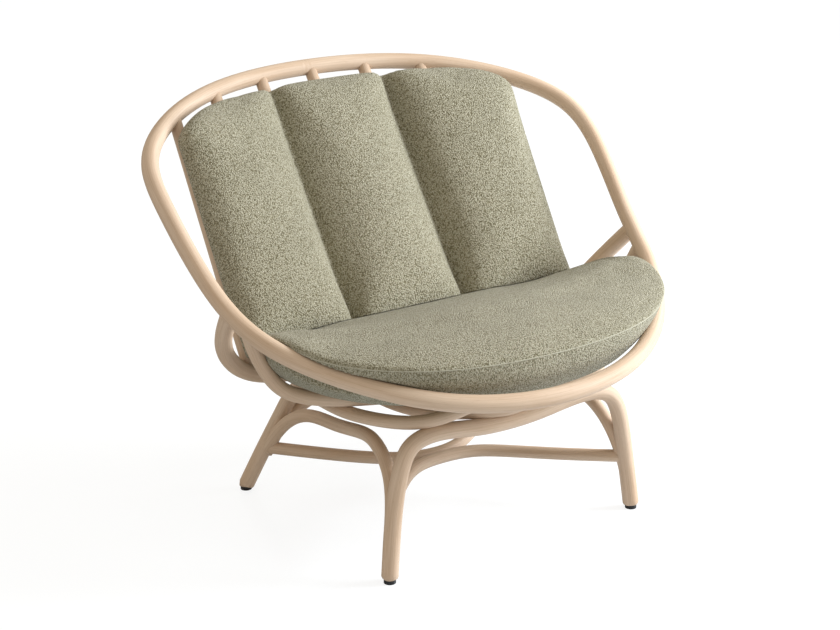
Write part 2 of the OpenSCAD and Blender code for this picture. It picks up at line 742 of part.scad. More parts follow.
// The sheet that the seams of the back cushion lie in: u goes across it, v goes up
function back_point(u, v, inset = 0) = let (
    half = back_cushion_w / 2, foot = spindle_foot(u * half), top = spindle_top(u * half),
    low = base_h + back_low_z + inset,
    high = back_h - hoop_d - back_top_z - inset - corner_drop * pow(abs(u), corner_power),
    z = mix(low, high, v), p = mix(foot, top, (z - foot[2]) / (top[2] - foot[2])))
    [p[0] * (1 - foot_narrowing / half * pow(1 - v, 2)), p[1] - back_setback, z];
function back_out(u) = let (half = back_cushion_w / 2,
    way = unit(spindle_top(u * half) - spindle_foot(u * half))) [0, -way[2], way[1]];

// A closed form round that sheet, from its depths in front of and behind it
module sheet_form(shares, marks, inset, fronts, rears) {
    columns = len(shares) - 1;
    rows = len(marks) - 1;
    function at(i, r, depth) = back_point(shares[i], marks[r], inset) + back_out(shares[i]) * depth;
    n = 2 * columns + 2;
    points = [for (r = [0 : rows]) each concat(
        [for (i = [0 : columns]) at(i, r, fronts[r][i])],
        [for (i = [columns : -1 : 0]) at(i, r, rears[r][i])])];
    walls = [for (r = [0 : rows - 1], k = [0 : n - 1]) let (a = r * n, b = a + n, m = (k + 1) % n)
        each [[a + k, b + m, a + m], [a + k, b + k, b + m]]];
    end = rows * n;
    caps = [for (j = [0 : columns - 1]) each [[j, j + 1, n - 2 - j], [j, n - 2 - j, n - 1 - j],
        [end + j + 1, end + j, end + n - 2 - j], [end + n - 2 - j, end + j, end + n - 1 - j]]];
    polyhedron(points = points, faces = concat(walls, caps), convexity = 8);
}

// Rows of a form are closer together towards its ends
function row_marks(rows) = [for (i = [0 : rows]) 0.5 - 0.5 * cos(180 * i / rows)];

// The cushion's outer form, with three channels side by side
module back_form() {
    shares = [for (i = [0 : 27]) mix(-1, 1, i / 27)];
    marks = row_marks(10);
    function depth(u, v) = channel(((u + 1) / channel_share) % 1 * 2 - 1) * drawn(v);
    sheet_form(shares, marks, 0,
        [for (v = marks) [for (u = shares) max(back_puff * depth(u, v), seam_half)]],
        [for (v = marks) [for (u = shares) -max(back_behind * depth(u, v), seam_half)]]);
}

// The hollow in one channel, or with a gap round it the filling that lies in it
module channel_form(side, gap = 0) {
    half_share = channel_share / 2 * hollow_share - gap / back_cushion_w * 2;
    steps = [for (i = [0 : 8]) -cos(180 * i / 8)];
    marks = row_marks(8);
    inset = cover_t + gap;
    lead = hollow_lead + gap;
    sheet_form([for (s = steps) side * channel_share + s * half_share], marks, inset,
        [for (v = marks) [for (s = steps) max((back_puff - inset) * channel(s) * drawn(v),
            2 * hollow_lead - gap)]],
        [for (v = marks) [for (s = steps) lead]]);
}

module back_cover() {
    color("darkkhaki") difference() {
        back_form();
        rear_sling_pole(2 * rest_gap);
        all_spindles(rest_gap);
        translate([0, 2 * rest_gap, rest_gap]) seat_form();
        for (side = [-1 : 1]) {
            channel_form(side);
            zip_slit(back_point(side * channel_share, back_zip_share), back_zip_l,
                -acos(-back_out(side * channel_share)[1]));
        }
    }
}

module left_back_filling() { color("ivory") channel_form(-1, filling_gap); }
module middle_back_filling() { color("ivory") channel_form(0, filling_gap); }
module right_back_filling() { color("ivory") channel_form(1, filling_gap); }

hoop();
front_sling();
rear_sling();
front_leg_arch();
rear_leg_arch();
left_side_arch();
right_side_arch();
rear_brace();
outer_ring();
inner_ring();
front_stretcher();
rear_stretcher();
spindle_far_left();
spindle_left();
spindle_mid_left();
spindle_centre();
spindle_mid_right();
spindle_right();
spindle_far_right();
seat_rod_far_left();
seat_rod_left();
seat_rod_centre();
seat_rod_right();
seat_rod_far_right();
floor_glides();
ring_screws();
sling_screws();
stretcher_screw();
hoop_dowels();
stretcher_dowels();
brace_dowels();
seat_cover();
seat_core();
back_cover();
left_back_filling();
middle_back_filling();
right_back_filling();
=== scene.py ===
import json
import math

import bpy
import numpy as np
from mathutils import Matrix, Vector, kdtree
from mathutils.bvhtree import BVHTree


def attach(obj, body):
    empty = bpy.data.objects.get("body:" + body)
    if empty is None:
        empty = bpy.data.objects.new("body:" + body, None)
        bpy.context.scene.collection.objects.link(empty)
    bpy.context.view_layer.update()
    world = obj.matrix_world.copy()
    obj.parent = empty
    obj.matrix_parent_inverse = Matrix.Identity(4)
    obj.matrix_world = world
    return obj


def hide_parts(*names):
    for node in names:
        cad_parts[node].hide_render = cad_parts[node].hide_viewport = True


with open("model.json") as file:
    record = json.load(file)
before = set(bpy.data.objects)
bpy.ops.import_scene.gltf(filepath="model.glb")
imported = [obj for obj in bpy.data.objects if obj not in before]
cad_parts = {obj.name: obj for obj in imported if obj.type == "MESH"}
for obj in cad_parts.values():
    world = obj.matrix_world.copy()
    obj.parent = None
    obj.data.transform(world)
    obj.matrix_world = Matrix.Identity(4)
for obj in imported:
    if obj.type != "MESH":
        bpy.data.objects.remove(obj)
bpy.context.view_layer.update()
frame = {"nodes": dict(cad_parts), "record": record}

# Routes of the poles in millimetres. Their y counts from the feet's middle
MIDDLE_Y = 53.3
HOOP = [(0, 495, 760), (275, 450, 750), (470, 285, 695), (485, 170, 630), (460, 30, 480),
        (425, -100, 420), (320, -250, 380), (185, -350, 350), (0, -385, 340)]
OUTER_RING = [(0, 242, 238), (132, 222, 243), (226, 165, 249), (264, 87, 256), (269, -4, 266),
              (275, -87, 273), (251, -161, 277), (199, -217, 276), (138, -233, 286),
              (70, -232, 300), (0, -231, 303)]
INNER_RING = [(0, 212, 237), (78, 196, 240), (136, 140, 250), (166, 63, 257), (170, -31, 260),
              (154, -115, 258), (106, -179, 262), (49, -212, 264), (0, -224, 262)]
FRONT_SLING = [(-423, -36, 410), (-398, -32, 358), (-375, -40, 322), (-341, -59, 305),
               (-283, -92, 299), (-203, -131, 300), (-106, -161, 303), (0, -172, 303)]
REAR_SLING = [(-432, 66, 392), (-402, 100, 335), (-356, 106, 296), (-274, 105, 280),
              (-150, 106, 281), (0, 106, 282)]
FRONT_ARCH = [(-275, -241, 0), (-260, -230, 130), (-244, -230, 212), (-220, -225, 252),
              (-153, -220, 256), (-78, -215, 239), (0, -212, 233)]
REAR_ARCH = [(-303, 242, 0), (-265, 222, 90), (-235, 207, 155), (-210, 202, 202),
             (-169, 200, 219), (-96, 199, 214), (0, 198, 210)]
REAR_BRACE = [(-262, 222, 75), (-240, 206, 132), (-206, 200, 163), (-160, 199, 182),
              (-80, 198, 188), (0, 198, 185)]
FRONT_STRETCHER = [(-262, -232, 107), (-198, -135, 90), (-133, -60, 84), (-69, -8, 85), (0, 0, 84)]
REAR_STRETCHER = [(-268, 222, 88), (-195, 138, 88), (-130, 75, 86), (-66, 30, 84), (0, 15, 84)]
SIDE_ARCH = [(-271, 226, 70), (-242, 186, 150), (-222, 121, 186), (-219, 25, 190),
             (-216, -64, 212), (-231, -134, 221), (-241, -198, 183), (-259, -225, 115),
             (-269, -232, 59)]
SPINDLES = {"far_left": -3, "left": -2, "mid_left": -1, "centre": 0, "mid_right": 1,
            "right": 2, "far_right": 3}
SEAT_RODS = {"far_left": -2, "left": -1, "centre": 0, "right": 1, "far_right": 2}
HOOP_D, FRONT_SLING_D, REAR_SLING_D, LEG_D, RING_D, BRACE_D = 32, 27, 32, 31, 25, 25
STRETCHER_D, SPINDLE_D, SEAT_ROD_D = 24, 24, 20
SPINDLE_STEP, SEAT_ROD_STEP = 118, 100
GLIDE_H = 8
POLE_SIDES, SEAM_SIDES = 24, 8
GRAIN_R = 0.014

# Outlines of the seat cushion in millimetres: its lower edge over the slings, and its seam
SEAT_BASE = [(0, 98, 0), (150, 98, 0), (245, 92, 0), (312, 62, 4), (345, 5, 6), (345, -65, 6),
             (325, -140, 2), (280, -215, 0), (210, -275, 0), (115, -318, 0), (0, -332, 0)]
SEAT_SEAM = [(0, 130, 346), (150, 132, 346), (262, 124, 350), (338, 98, 374), (388, 50, 404),
             (414, -45, 438), (404, -130, 446), (370, -213, 424), (280, -297, 416),
             (165, -347, 414), (0, -362, 413)]


def mm(points):
    return (np.array(points, float) - (0, MIDDLE_Y, 0)) / 1000


def mirrored(points):
    return np.array(points, float) * (-1, 1, 1)


def ring_of(half):
    half = np.array(half, float)
    return np.vstack([half, mirrored(half[-2:0:-1])])


def both_halves(half):
    half = np.array(half, float)
    return np.vstack([half, mirrored(half[-2::-1])])


def curve(route, closed, steps):
    """A smooth curve past the points of a route, with steps sections for each."""
    r = np.array(route, float)
    n = len(r)
    if closed:
        e = np.vstack([r[-1:], r, r[:2]])
        spans = n
    else:
        e = np.vstack([2 * r[:1] - r[1:2], r, 2 * r[-1:] - r[-2:-1]])
        spans = n - 1
    points = []
    for i in range(spans):
        a, b, c, d = e[i:i + 4]
        for k in range(steps):
            t = k / steps
            points.append(((1 - t) ** 3 * a + (3 * t ** 3 - 6 * t * t + 4) * b
                           + (-3 * t ** 3 + 3 * t * t + 3 * t + 1) * c + t ** 3 * d) / 6)
    if not closed:
        points.append(r[-1])
    return np.array(points)


def at(points, axis, value):
    """The point where a curve first passes a value on an axis."""
    for p, q in zip(points[:-1], points[1:]):
        if (p[axis] - value) * (q[axis] - value) <= 0:
            return p + (value - p[axis]) / (q[axis] - p[axis]) * (q - p)
    raise ValueError("the curve doesn't pass the value")


def unit(v):
    return v / np.linalg.norm(v, axis=-1, keepdims=True)


def gradual(values, start, span):
    """Rises evenly from 0 at start to 1 at start plus span."""
    return np.clip((values - start) / span, 0, 1)


# Objects
def new_object(name, verts, faces, replaced):
    mesh = bpy.data.meshes.new(name)
    mesh.from_pydata([tuple(v) for v in verts], [], faces)
    mesh.update()
    obj = bpy.data.objects.new(name, mesh)
    bpy.context.scene.collection.objects.link(obj)
    for p in mesh.polygons:
        p.use_smooth = True
    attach(obj, "root")
    if replaced:
        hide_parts(*replaced)
    return obj


def tube(name, path, radii, side_on, closed=False, floor_cut=(), sewn=False):
    """A round pole along path, in millimetres, with its grain along it, or a sewn seam."""
    sides = SEAM_SIDES if sewn else POLE_SIDES
    path = np.array(path, float)
    n = len(path)
    radii = np.broadcast_to(np.array(radii, float), (n,))
    if closed:
        ahead, behind = np.roll(path, -1, 0), np.roll(path, 1, 0)
    else:
        ahead = np.vstack([path[1:], path[-1:]])
        behind = np.vstack([path[:1], path[:-1]])
    t = unit(ahead - behind)
    u = unit(np.cross(np.array(side_on, float), t))
    v = np.cross(t, u)
    turn = np.arange(sides) * 2 * math.pi / sides
    rings = (path[:, None] + radii[:, None, None] * (np.cos(turn)[None, :, None] * u[:, None]
                                                     + np.sin(turn)[None, :, None] * v[:, None]))
    length = np.concatenate([[0], np.cumsum(np.linalg.norm(np.diff(path, axis=0), axis=1))])
    grain = np.stack([np.broadcast_to(np.cos(turn) * GRAIN_R, (n, sides)),
                      np.broadcast_to(np.sin(turn) * GRAIN_R, (n, sides)),
                      np.broadcast_to(length[:, None] / 1000, (n, sides))], -1)
    for i in floor_cut:
        share = (GLIDE_H - rings[i, :, 2]) / t[i, 2]
        rings[i] += share[:, None] * t[i]
    faces = []
    for i in range(n if closed else n - 1):
        j = (i + 1) % n
        for k in range(sides):
            m = (k + 1) % sides
            faces.append((i * sides + k, i * sides + m, j * sides + m, j * sides + k))
    if not closed:
        faces.append(tuple(range(sides - 1, -1, -1)))
        faces.append(tuple((n - 1) * sides + k for k in range(sides)))
    verts = mm(rings.reshape(-1, 3))
    if sewn:
        obj = new_object(name, verts, faces, [])
        obj.data.materials.append(thread)
        return obj
    obj = new_object(name, verts, faces, [name])
    layer = obj.data.attributes.new("grain", "FLOAT_VECTOR", "POINT")
    offset = np.array([0, 0, (sum(map(ord, name)) % 97) * 0.37])
    layer.data.foreach_set("vector", (grain.reshape(-1, 3) + offset).astype(np.float32).ravel())
    obj.data.materials.append(rattan)
    return obj


# Materials
def material(name, rough, spec):
    m = bpy.data.materials.new(name)
    m.use_nodes = True
    shader = m.node_tree.nodes["Principled BSDF"]
    shader.inputs["Roughness"].default_value = rough
    shader.inputs["Specular IOR Level"].default_value = spec
    return m, m.node_tree, shader


def ramp(tree, source, stops):
    node = tree.nodes.new("ShaderNodeValToRGB")
    while len(node.color_ramp.elements) < len(stops):
        node.color_ramp.elements.new(0.5)
    for element, (place, colour) in zip(node.color_ramp.elements, stops):
        element.position = place
        element.color = (*colour, 1)
    tree.links.new(source, node.inputs["Fac"])
    return node.outputs["Color"]


def noise(tree, vector, scale, detail=2.0, rough=0.5):
    node = tree.nodes.new("ShaderNodeTexNoise")
    node.inputs["Scale"].default_value = scale
    node.inputs["Detail"].default_value = detail
    node.inputs["Roughness"].default_value = rough
    tree.links.new(vector, node.inputs["Vector"])
    return node.outputs["Fac"]


def stretched(tree, source, scale):
    node = tree.nodes.new("ShaderNodeMapping")
    node.inputs["Scale"].default_value = scale
    tree.links.new(source, node.inputs["Vector"])
    return node.outputs["Vector"]


def mixed(tree, kind, fac, a, b):
    node = tree.nodes.new("ShaderNodeMix")
    node.data_type = "RGBA"
    node.blend_type = kind
    node.inputs["Factor"].default_value = fac
    tree.links.new(a, node.inputs["A"])
    tree.links.new(b, node.inputs["B"])
    return node.outputs["Result"]


def bump(tree, shader, height, distance, strength=1.0):
    node = tree.nodes.new("ShaderNodeBump")
    node.inputs["Strength"].default_value = strength
    node.inputs["Distance"].default_value = distance
    tree.links.new(height, node.inputs["Height"])
    tree.links.new(node.outputs["Normal"], shader.inputs["Normal"])


def make_rattan():
    """Peeled rattan, with pale and dark bands, fine streaks and pores along each pole."""
    m, tree, shader = material("peeled_rattan", 0.6, 0.35)
    grain = tree.nodes.new("ShaderNodeAttribute")
    grain.attribute_name = "grain"
    vector = grain.outputs["Vector"]
    broad = ramp(tree, noise(tree, stretched(tree, vector, (60, 60, 5)), 1.0, 3.0),
                 [(0.3, (0.57, 0.41, 0.285)), (0.5, (0.62, 0.465, 0.34)),
                  (0.72, (0.67, 0.52, 0.395))])
    streak = ramp(tree, noise(tree, stretched(tree, vector, (700, 700, 9)), 1.0, 3.0, 0.6),
                  [(0.3, (0.86, 0.83, 0.79)), (0.55, (1, 1, 1)), (0.8, (1.04, 1.03, 1.02))])
    colour = mixed(tree, "MULTIPLY", 1.0, broad, streak)
    pores = ramp(tree, noise(tree, stretched(tree, vector, (1500, 1500, 60)), 1.0, 2.0),
                 [(0.27, (0.80, 0.74, 0.68)), (0.36, (1, 1, 1))])
    colour = mixed(tree, "MULTIPLY", 0.8, colour, pores)
    tree.links.new(colour, shader.inputs["Base Color"])
    fibres = noise(tree, stretched(tree, vector, (500, 500, 14)), 1.0, 3.0)
    bump(tree, shader, fibres, 0.0004, 0.5)
    return m


def make_fabric():
    """A looped weave: pale loop tops with painted light, dark gaps between them with painted
    shade, flecks and faint patches.
    """
    m, tree, shader = material("cover_fabric", 0.95, 0.1)
    place = tree.nodes.new("ShaderNodeTexCoord").outputs["Object"]
    place = stretched(tree, place, (1, 1, 0.7))
    loops = tree.nodes.new("ShaderNodeTexVoronoi")
    loops.inputs["Scale"].default_value = 460
    bent = tree.nodes.new("ShaderNodeMix")
    bent.data_type = "VECTOR"
    bent.inputs["Factor"].default_value = 0.0018
    waves = tree.nodes.new("ShaderNodeTexNoise")
    waves.inputs["Scale"].default_value = 300
    tree.links.new(place, waves.inputs["Vector"])
    tree.links.new(place, bent.inputs["A"])
    tree.links.new(waves.outputs["Color"], bent.inputs["B"])
    tree.links.new(bent.outputs["Result"], loops.inputs["Vector"])
    # The ramp over the loops paints light on the loop tops and shade in the gaps between the loops
    colour = ramp(tree, loops.outputs["Distance"], [(0.08, (0.54, 0.51, 0.41)),
                                                    (0.4, (0.42, 0.39, 0.29)),
                                                    (0.75, (0.18, 0.16, 0.095))])
    flecks = ramp(tree, noise(tree, place, 300, 2.0, 0.6),
                  [(0.35, (0.82, 0.81, 0.77)), (0.5, (1, 1, 1)), (0.65, (1.12, 1.12, 1.12))])
    patches = ramp(tree, noise(tree, place, 14, 3.0),
                   [(0.3, (0.94, 0.94, 0.93)), (0.7, (1.05, 1.05, 1.05))])
    colour = mixed(tree, "MULTIPLY", 1.0, colour, flecks)
    tree.links.new(mixed(tree, "MULTIPLY", 1.0, colour, patches), shader.inputs["Base Color"])
    shader.inputs["Sheen Weight"].default_value = 0.2
    shader.inputs["Sheen Roughness"].default_value = 0.5
    height = tree.nodes.new("ShaderNodeMath")
    height.operation = "SUBTRACT"
    tree.links.new(noise(tree, place, 420, 2.0), height.inputs[0])
    tree.links.new(loops.outputs["Distance"], height.inputs[1])
    bump(tree, shader, height.outputs[0], 0.0025, 0.9)
    return m


def make_plain(name, colour, rough, metal=0.0):
    """One colour with a faint mottle."""
    m, tree, shader = material(name, rough, 0.4)
    place = tree.nodes.new("ShaderNodeTexCoord").outputs["Object"]
    low = tuple(c * 0.9 for c in colour)
    tree.links.new(ramp(tree, noise(tree, place, 300), [(0.35, low), (0.65, colour)]),
                   shader.inputs["Base Color"])
    shader.inputs["Metallic"].default_value = metal
    return m


rattan = make_rattan()
fabric = make_fabric()
thread = make_plain("seam_thread", (0.43, 0.405, 0.315), 0.95)
plain = {"glide_rubber": make_plain("glide_rubber", (0.012, 0.012, 0.013), 0.5),
         "screw_steel": make_plain("screw_steel", (0.62, 0.62, 0.6), 0.35, 1.0),
         "dowel_wood": make_plain("dowel_wood", (0.62, 0.46, 0.28), 0.6),
         "filling": make_plain("filling", (0.8, 0.77, 0.7), 0.9),
         "peeled_rattan": rattan, "cover_fabric": fabric}
for part in frame["record"]["subparts"]:
    node = frame["nodes"][part["node"]]
    node.data.materials.clear()
    node.data.materials.append(plain[part["material_slot"]])

# Poles
STEPS, RING_STEPS = 12, 10
FRONT_SLING_Y, REAR_SLING_Y = -46, -6
# Heights over a glide at which a leg's rounded edge narrows, by how much, and where it ends
EDGE = ((0.01, 3.6), (1.2, 1.2), (4, 0))
EDGE_H = 9

hoop = curve(ring_of(HOOP), True, STEPS)


def slung(start_y, half):
    """A sling's line from the hoop, where its y is start_y, down and up to the other side."""
    x, y, z = at(hoop, 1, start_y)
    return curve(both_halves([(-x, y, z)] + half), False, STEPS)


front_sling = slung(FRONT_SLING_Y, FRONT_SLING)
rear_sling = slung(REAR_SLING_Y, REAR_SLING)


def leg_arch(half):
    """A leg arch's line, and its radii, cut level over the glides with a rounded edge."""
    line = curve(both_halves(half), False, STEPS)
    whole = [p for p in line if p[2] > GLIDE_H + EDGE_H]
    ends = [[at(side, 2, GLIDE_H + h) for h, _ in EDGE] for side in (line, line[::-1])]
    path = ends[0] + whole + ends[1][::-1]
    r = LEG_D / 2
    edge_r = [r - narrower for _, narrower in EDGE]
    return np.array(path), np.array(edge_r + [r] * len(whole) + edge_r[::-1])


tube("hoop", hoop, HOOP_D / 2, (0, -0.45, 0.9), True)
for name, half in (("outer_ring", OUTER_RING), ("inner_ring", INNER_RING)):
    tube(name, curve(ring_of(half), True, RING_STEPS), RING_D / 2, (0, 0, 1), True)
tube("front_sling", front_sling, FRONT_SLING_D / 2, (0, 1, 0))
tube("rear_sling", rear_sling, REAR_SLING_D / 2, (0, 1, 0))
for name, half in (("front_leg_arch", FRONT_ARCH), ("rear_leg_arch", REAR_ARCH)):
    path, radii = leg_arch(half)
    tube(name, path, radii, (0, 1, 0), floor_cut=(0, -1))
side_arch = curve(SIDE_ARCH, False, STEPS)
tube("left_side_arch", side_arch, BRACE_D / 2, (1, 0, 0))
tube("right_side_arch", mirrored(side_arch), BRACE_D / 2, (1, 0, 0))
tube("rear_brace", curve(both_halves(REAR_BRACE), False, STEPS), BRACE_D / 2, (0, 1, 0))
for name, half in (("front_stretcher", FRONT_STRETCHER), ("rear_stretcher", REAR_STRETCHER)):
    tube(name, curve(both_halves(half), False, STEPS), STRETCHER_D / 2, (0, 0, 1))


def crossing(line, x):
    """The point of a symmetrical curve at x, found on its right half."""
    p = at(line, 0, abs(x))
    return np.array([x, p[1], p[2]])


# A spindle ends a little in front of the hoop's axis and under it
SPINDLE_TOP = (0, -4, -3)
SPINDLE_RINGS, SEAT_ROD_RINGS = 12, 8


def spindle_line(x):
    return crossing(rear_sling, x), crossing(hoop, x) + SPINDLE_TOP


def seat_rod_line(x):
    return crossing(front_sling, x), crossing(rear_sling, x)


def straight(ends, rings):
    a, b = ends
    return [a + (b - a) * s for s in np.linspace(0, 1, rings)]


for name, place in SPINDLES.items():
    tube("spindle_" + name, straight(spindle_line(place * SPINDLE_STEP), SPINDLE_RINGS),
         SPINDLE_D / 2, (1, 0, 0))
for name, place in SEAT_RODS.items():
    tube("seat_rod_" + name, straight(seat_rod_line(place * SEAT_ROD_STEP), SEAT_ROD_RINGS),
         SEAT_ROD_D / 2, (1, 0, 0))


# Cushions
def ring_faces(rows, columns):
    """The faces between closed rings of points, one ring after the other."""
    faces = []
    for r in range(rows - 1):
        for k in range(columns):
            m = (k + 1) % columns
            faces.append((r * columns + k, r * columns + m, (r + 1) * columns + m,
                          (r + 1) * columns + k))
    return faces


def slings_floor(y):
    """The height at which a cushion would rest on both slings, for a y."""
    front = crossing(front_sling, 0) + (0, 0, FRONT_SLING_D / 2)
    rear = crossing(rear_sling, 0) + (0, 0, REAR_SLING_D / 2)
    return front[2] + (rear[2] - front[2]) * (y - front[1]) / (rear[1] - front[1]) + REST_GAP


# How far a cushion starts inside its outline, because it swells later, and its gap to the slings
DRAW_IN, REST_GAP = 2, 0.3
# Seat: its middle's y, and the crown over the front of the seam, which falls towards the rear
SEAT_MIDDLE_Y, CROWN, SLOPE = -110, 32, 0.21
# The underside's edge is raised, and the wall over it bulges, more at the sides
EDGE_RISE, BULGE, SIDE_BULGE, SIDE_BULGE_X, SIDE_BULGE_SPAN = 8, 9, 14, 330, 60
# Heights of the seam and of the rim inside it, and the rim's height over the seam
STITCH_Z, RIM_Z, RIM_OVER, RIM_OVER_FRONT, RIM_OVER_SPAN = 415, 430, 6, 12, 150
# The rim falls at the rear corners and rises at both ends
END_FALL, FALL_Y, FALL_Y_SPAN, FALL_X, FALL_X_SPAN = 22, -60, 110, 220, 100
END_RISE, RISE_X, RISE_SPAN = 9, 250, 120
# The top's dome and front roll, the width of its rounded edge, and how far that edge is full
DOME, ROLL, ROLL_Y, ROLL_WIDTH, ROUND, EDGE_FULL = 30, 8, -200, 100, 46, 4
SEAT_STEPS, WALL_RINGS = 8, 10
UNDER_SHARES = (0.2, 0.4, 0.6, 0.78, 0.9, 0.97)
EDGE_DEPTHS = (0.6, 2.5, 6, 11, 18, 27, ROUND)
TOP_SHARES = (0.9, 0.75, 0.6, 0.45, 0.3, 0.15)


def seat_rings(draw_in):
    """The seat cushion's outer form as rings from its underside to its crown, and its seam."""
    base = curve(ring_of(SEAT_BASE), True, SEAT_STEPS)
    seam = curve(ring_of(SEAT_SEAM), True, SEAT_STEPS)
    middle = np.array([0, SEAT_MIDDLE_Y, 0.0])
    flat = np.array([1, 1, 0])
    outward = unit((base - middle) * flat)
    front = seam[:, 1].min()
    crown_z = SEAT_SEAM[-1][2] + CROWN - draw_in
    lower = base * flat - outward * draw_in
    upper = seam * flat - outward * draw_in
    lower_z = slings_floor(base[:, 1]) + base[:, 2] + EDGE_RISE
    aside = np.abs(seam[:, 0])
    fall = gradual(seam[:, 1], FALL_Y, FALL_Y_SPAN) * gradual(aside, FALL_X, FALL_X_SPAN)
    stitch_z = np.minimum(seam[:, 2], (seam[:, 2] + STITCH_Z) / 2) - 0.5 * END_FALL * fall
    raised = RIM_OVER + RIM_OVER_FRONT * gradual(-seam[:, 1], 0, RIM_OVER_SPAN)
    rim_z = np.maximum(seam[:, 2], np.minimum(RIM_Z, seam[:, 2] + raised))
    rim_z = rim_z - END_FALL * fall + END_RISE * gradual(aside, RISE_X, RISE_SPAN)
    reach = np.linalg.norm(upper - middle, axis=1)
    bulge = BULGE + SIDE_BULGE * gradual(aside[:, None], SIDE_BULGE_X, SIDE_BULGE_SPAN)

    def crown(y, share):
        """The top's height at a y and at a share of the way out from the middle."""
        plane = crown_z - (y - front) * SLOPE
        roll = ROLL * np.exp(-((y - ROLL_Y) / ROLL_WIDTH) ** 2) * (1 - share ** 4)
        return plane + (rim_z - plane) * share ** 3 + DOME * (1 - share ** 2) + roll

    rings = []
    for share in UNDER_SHARES:
        p = middle + (lower - middle) * share
        p[:, 2] = slings_floor(p[:, 1]) + (EDGE_RISE + base[:, 2]) * share ** 8
        rings.append(p)
    for t in np.linspace(0, 1, WALL_RINGS):
        p = lower + (upper - lower) * t + outward * bulge * math.sin(math.pi * t)
        p[:, 2] = lower_z + (stitch_z - lower_z) * t
        rings.append(p)
    stitching = rings[-1].copy()
    for depth in EDGE_DEPTHS:
        share = 1 - depth / reach
        rise = math.sqrt(1 - (1 - depth / ROUND) ** 2)
        full = outward * EDGE_FULL * math.sin(math.pi * rise)
        p = middle + (upper - middle) * share[:, None] + full
        top = crown(p[:, 1], share)
        p[:, 2] = stitch_z + (top - stitch_z) * rise
        rings.append(p)
    for inner in TOP_SHARES:
        share = inner * (1 - ROUND / reach)
        p = middle + (upper - middle) * share[:, None]
        p[:, 2] = crown(p[:, 1], share)
        rings.append(p)
    return rings, stitching


def closed_form(name, rings, replaced, flat=False):
    """A cushion from its rings, closed to a middle point or, if flat, straight across."""
    n = len(rings[0])
    last = (len(rings) - 1) * n
    verts = np.vstack(rings)
    faces = ring_faces(len(rings), n)
    if flat:
        for k in range(n // 2 - 1):
            faces.append((k + 1, k, n - 1 - k, n - 2 - k))
            faces.append((last + k, last + k + 1, last + n - 2 - k, last + n - 1 - k))
    else:
        verts = np.vstack([verts, rings[0].mean(0), rings[-1].mean(0)])
        for k in range(n):
            m = (k + 1) % n
            faces.append((m, k, last + n))
            faces.append((last + k, last + m, last + n + 1))
    obj = new_object(name, mm(verts), faces, replaced)
    obj.data.materials.append(fabric)
    return obj


def apply_all(obj):
    bpy.context.view_layer.objects.active = obj
    for modifier in list(obj.modifiers):
        bpy.ops.object.modifier_apply(modifier=modifier.name)


def remesh(obj, size):
    modifier = obj.modifiers.new("remesh", "REMESH")
    modifier.mode = "VOXEL"
    modifier.voxel_size = size
    modifier.use_smooth_shade = True
    apply_all(obj)
    turned_out(obj)


def points_of(obj):
    co = np.zeros(len(obj.data.vertices) * 3)
    obj.data.vertices.foreach_get("co", co)
    return co.reshape(-1, 3)


def set_points(obj, co):
    obj.data.vertices.foreach_set("co", co.ravel())
    obj.data.update()


def turned_out(obj):
    """Turns the faces of a closed mesh outward."""
    co = points_of(obj)
    obj.data.calc_loop_triangles()
    corners = np.zeros(len(obj.data.loop_triangles) * 3, int)
    obj.data.loop_triangles.foreach_get("vertices", corners)
    a, b, c = (co[corners[i::3]] for i in range(3))
    if (a * np.cross(b, c)).sum() < 0:
        obj.data.flip_normals()


def spread_out(obj, values, times):
    """Evens values out over a mesh, each time half way to the neighbours' mean."""
    ends = np.zeros(len(obj.data.edges) * 2, int)
    obj.data.edges.foreach_get("vertices", ends)
    a, b = ends[::2], ends[1::2]
    n = len(values)
    count = np.bincount(ends, minlength=n)
    for _ in range(times):
        sums = [np.bincount(a, values[b, i], n) + np.bincount(b, values[a, i], n)
                for i in range(3)]
        values = (values + np.stack(sums, 1) / count[:, None]) / 2
    return values


def soften(obj, times, held=None):
    """Rounds a mesh's edges off, less where it is held."""
    co = points_of(obj)
    soft = spread_out(obj, co, times)
    share = 1 if held is None else (1 - held)[:, None]
    set_points(obj, co + (soft - co) * share)


# The swelling: its pressure, its length in frames, and how far a point may move, in metres
PRESSURE, FRAMES, SWELL_LIMIT, SWELL_EVENED, HELD_LEVELS = 4.0, 20, 0.006, 12, 10


def inflate(obj, held):
    """Swells a cushion as cloth, holding it where held says, from 0 to 1."""
    start = points_of(obj)
    group = obj.vertex_groups.new(name="held")
    for level in range(1, HELD_LEVELS + 1):
        chosen = np.nonzero(np.round(held * HELD_LEVELS) == level)[0]
        if len(chosen):
            group.add([int(i) for i in chosen], level / HELD_LEVELS, "REPLACE")
    cloth = obj.modifiers.new("cloth", "CLOTH")
    settings = cloth.settings
    settings.quality = 5
    settings.mass = 0.4
    settings.tension_stiffness = 20
    settings.compression_stiffness = 12
    settings.shear_stiffness = 8
    settings.bending_stiffness = 1.2
    settings.use_pressure = True
    settings.uniform_pressure_force = PRESSURE
    settings.effector_weights.gravity = 0
    settings.vertex_group_mass = "held"
    settings.pin_stiffness = 1
    cloth.collision_settings.use_collision = False
    cloth.point_cache.frame_start, cloth.point_cache.frame_end = 1, FRAMES
    scene = bpy.context.scene
    for f in range(1, FRAMES + 1):
        scene.frame_set(f)
    apply_all(obj)
    scene.frame_set(1)
    move = points_of(obj) - start
    far = np.linalg.norm(move, axis=1, keepdims=True)
    move = move * np.minimum(1, SWELL_LIMIT / np.maximum(far, 1e-9))
    set_points(obj, start + spread_out(obj, move, SWELL_EVENED))


def subdivide(obj):
    modifier = obj.modifiers.new("smooth", "SUBSURF")
    modifier.levels = modifier.render_levels = 1
    apply_all(obj)


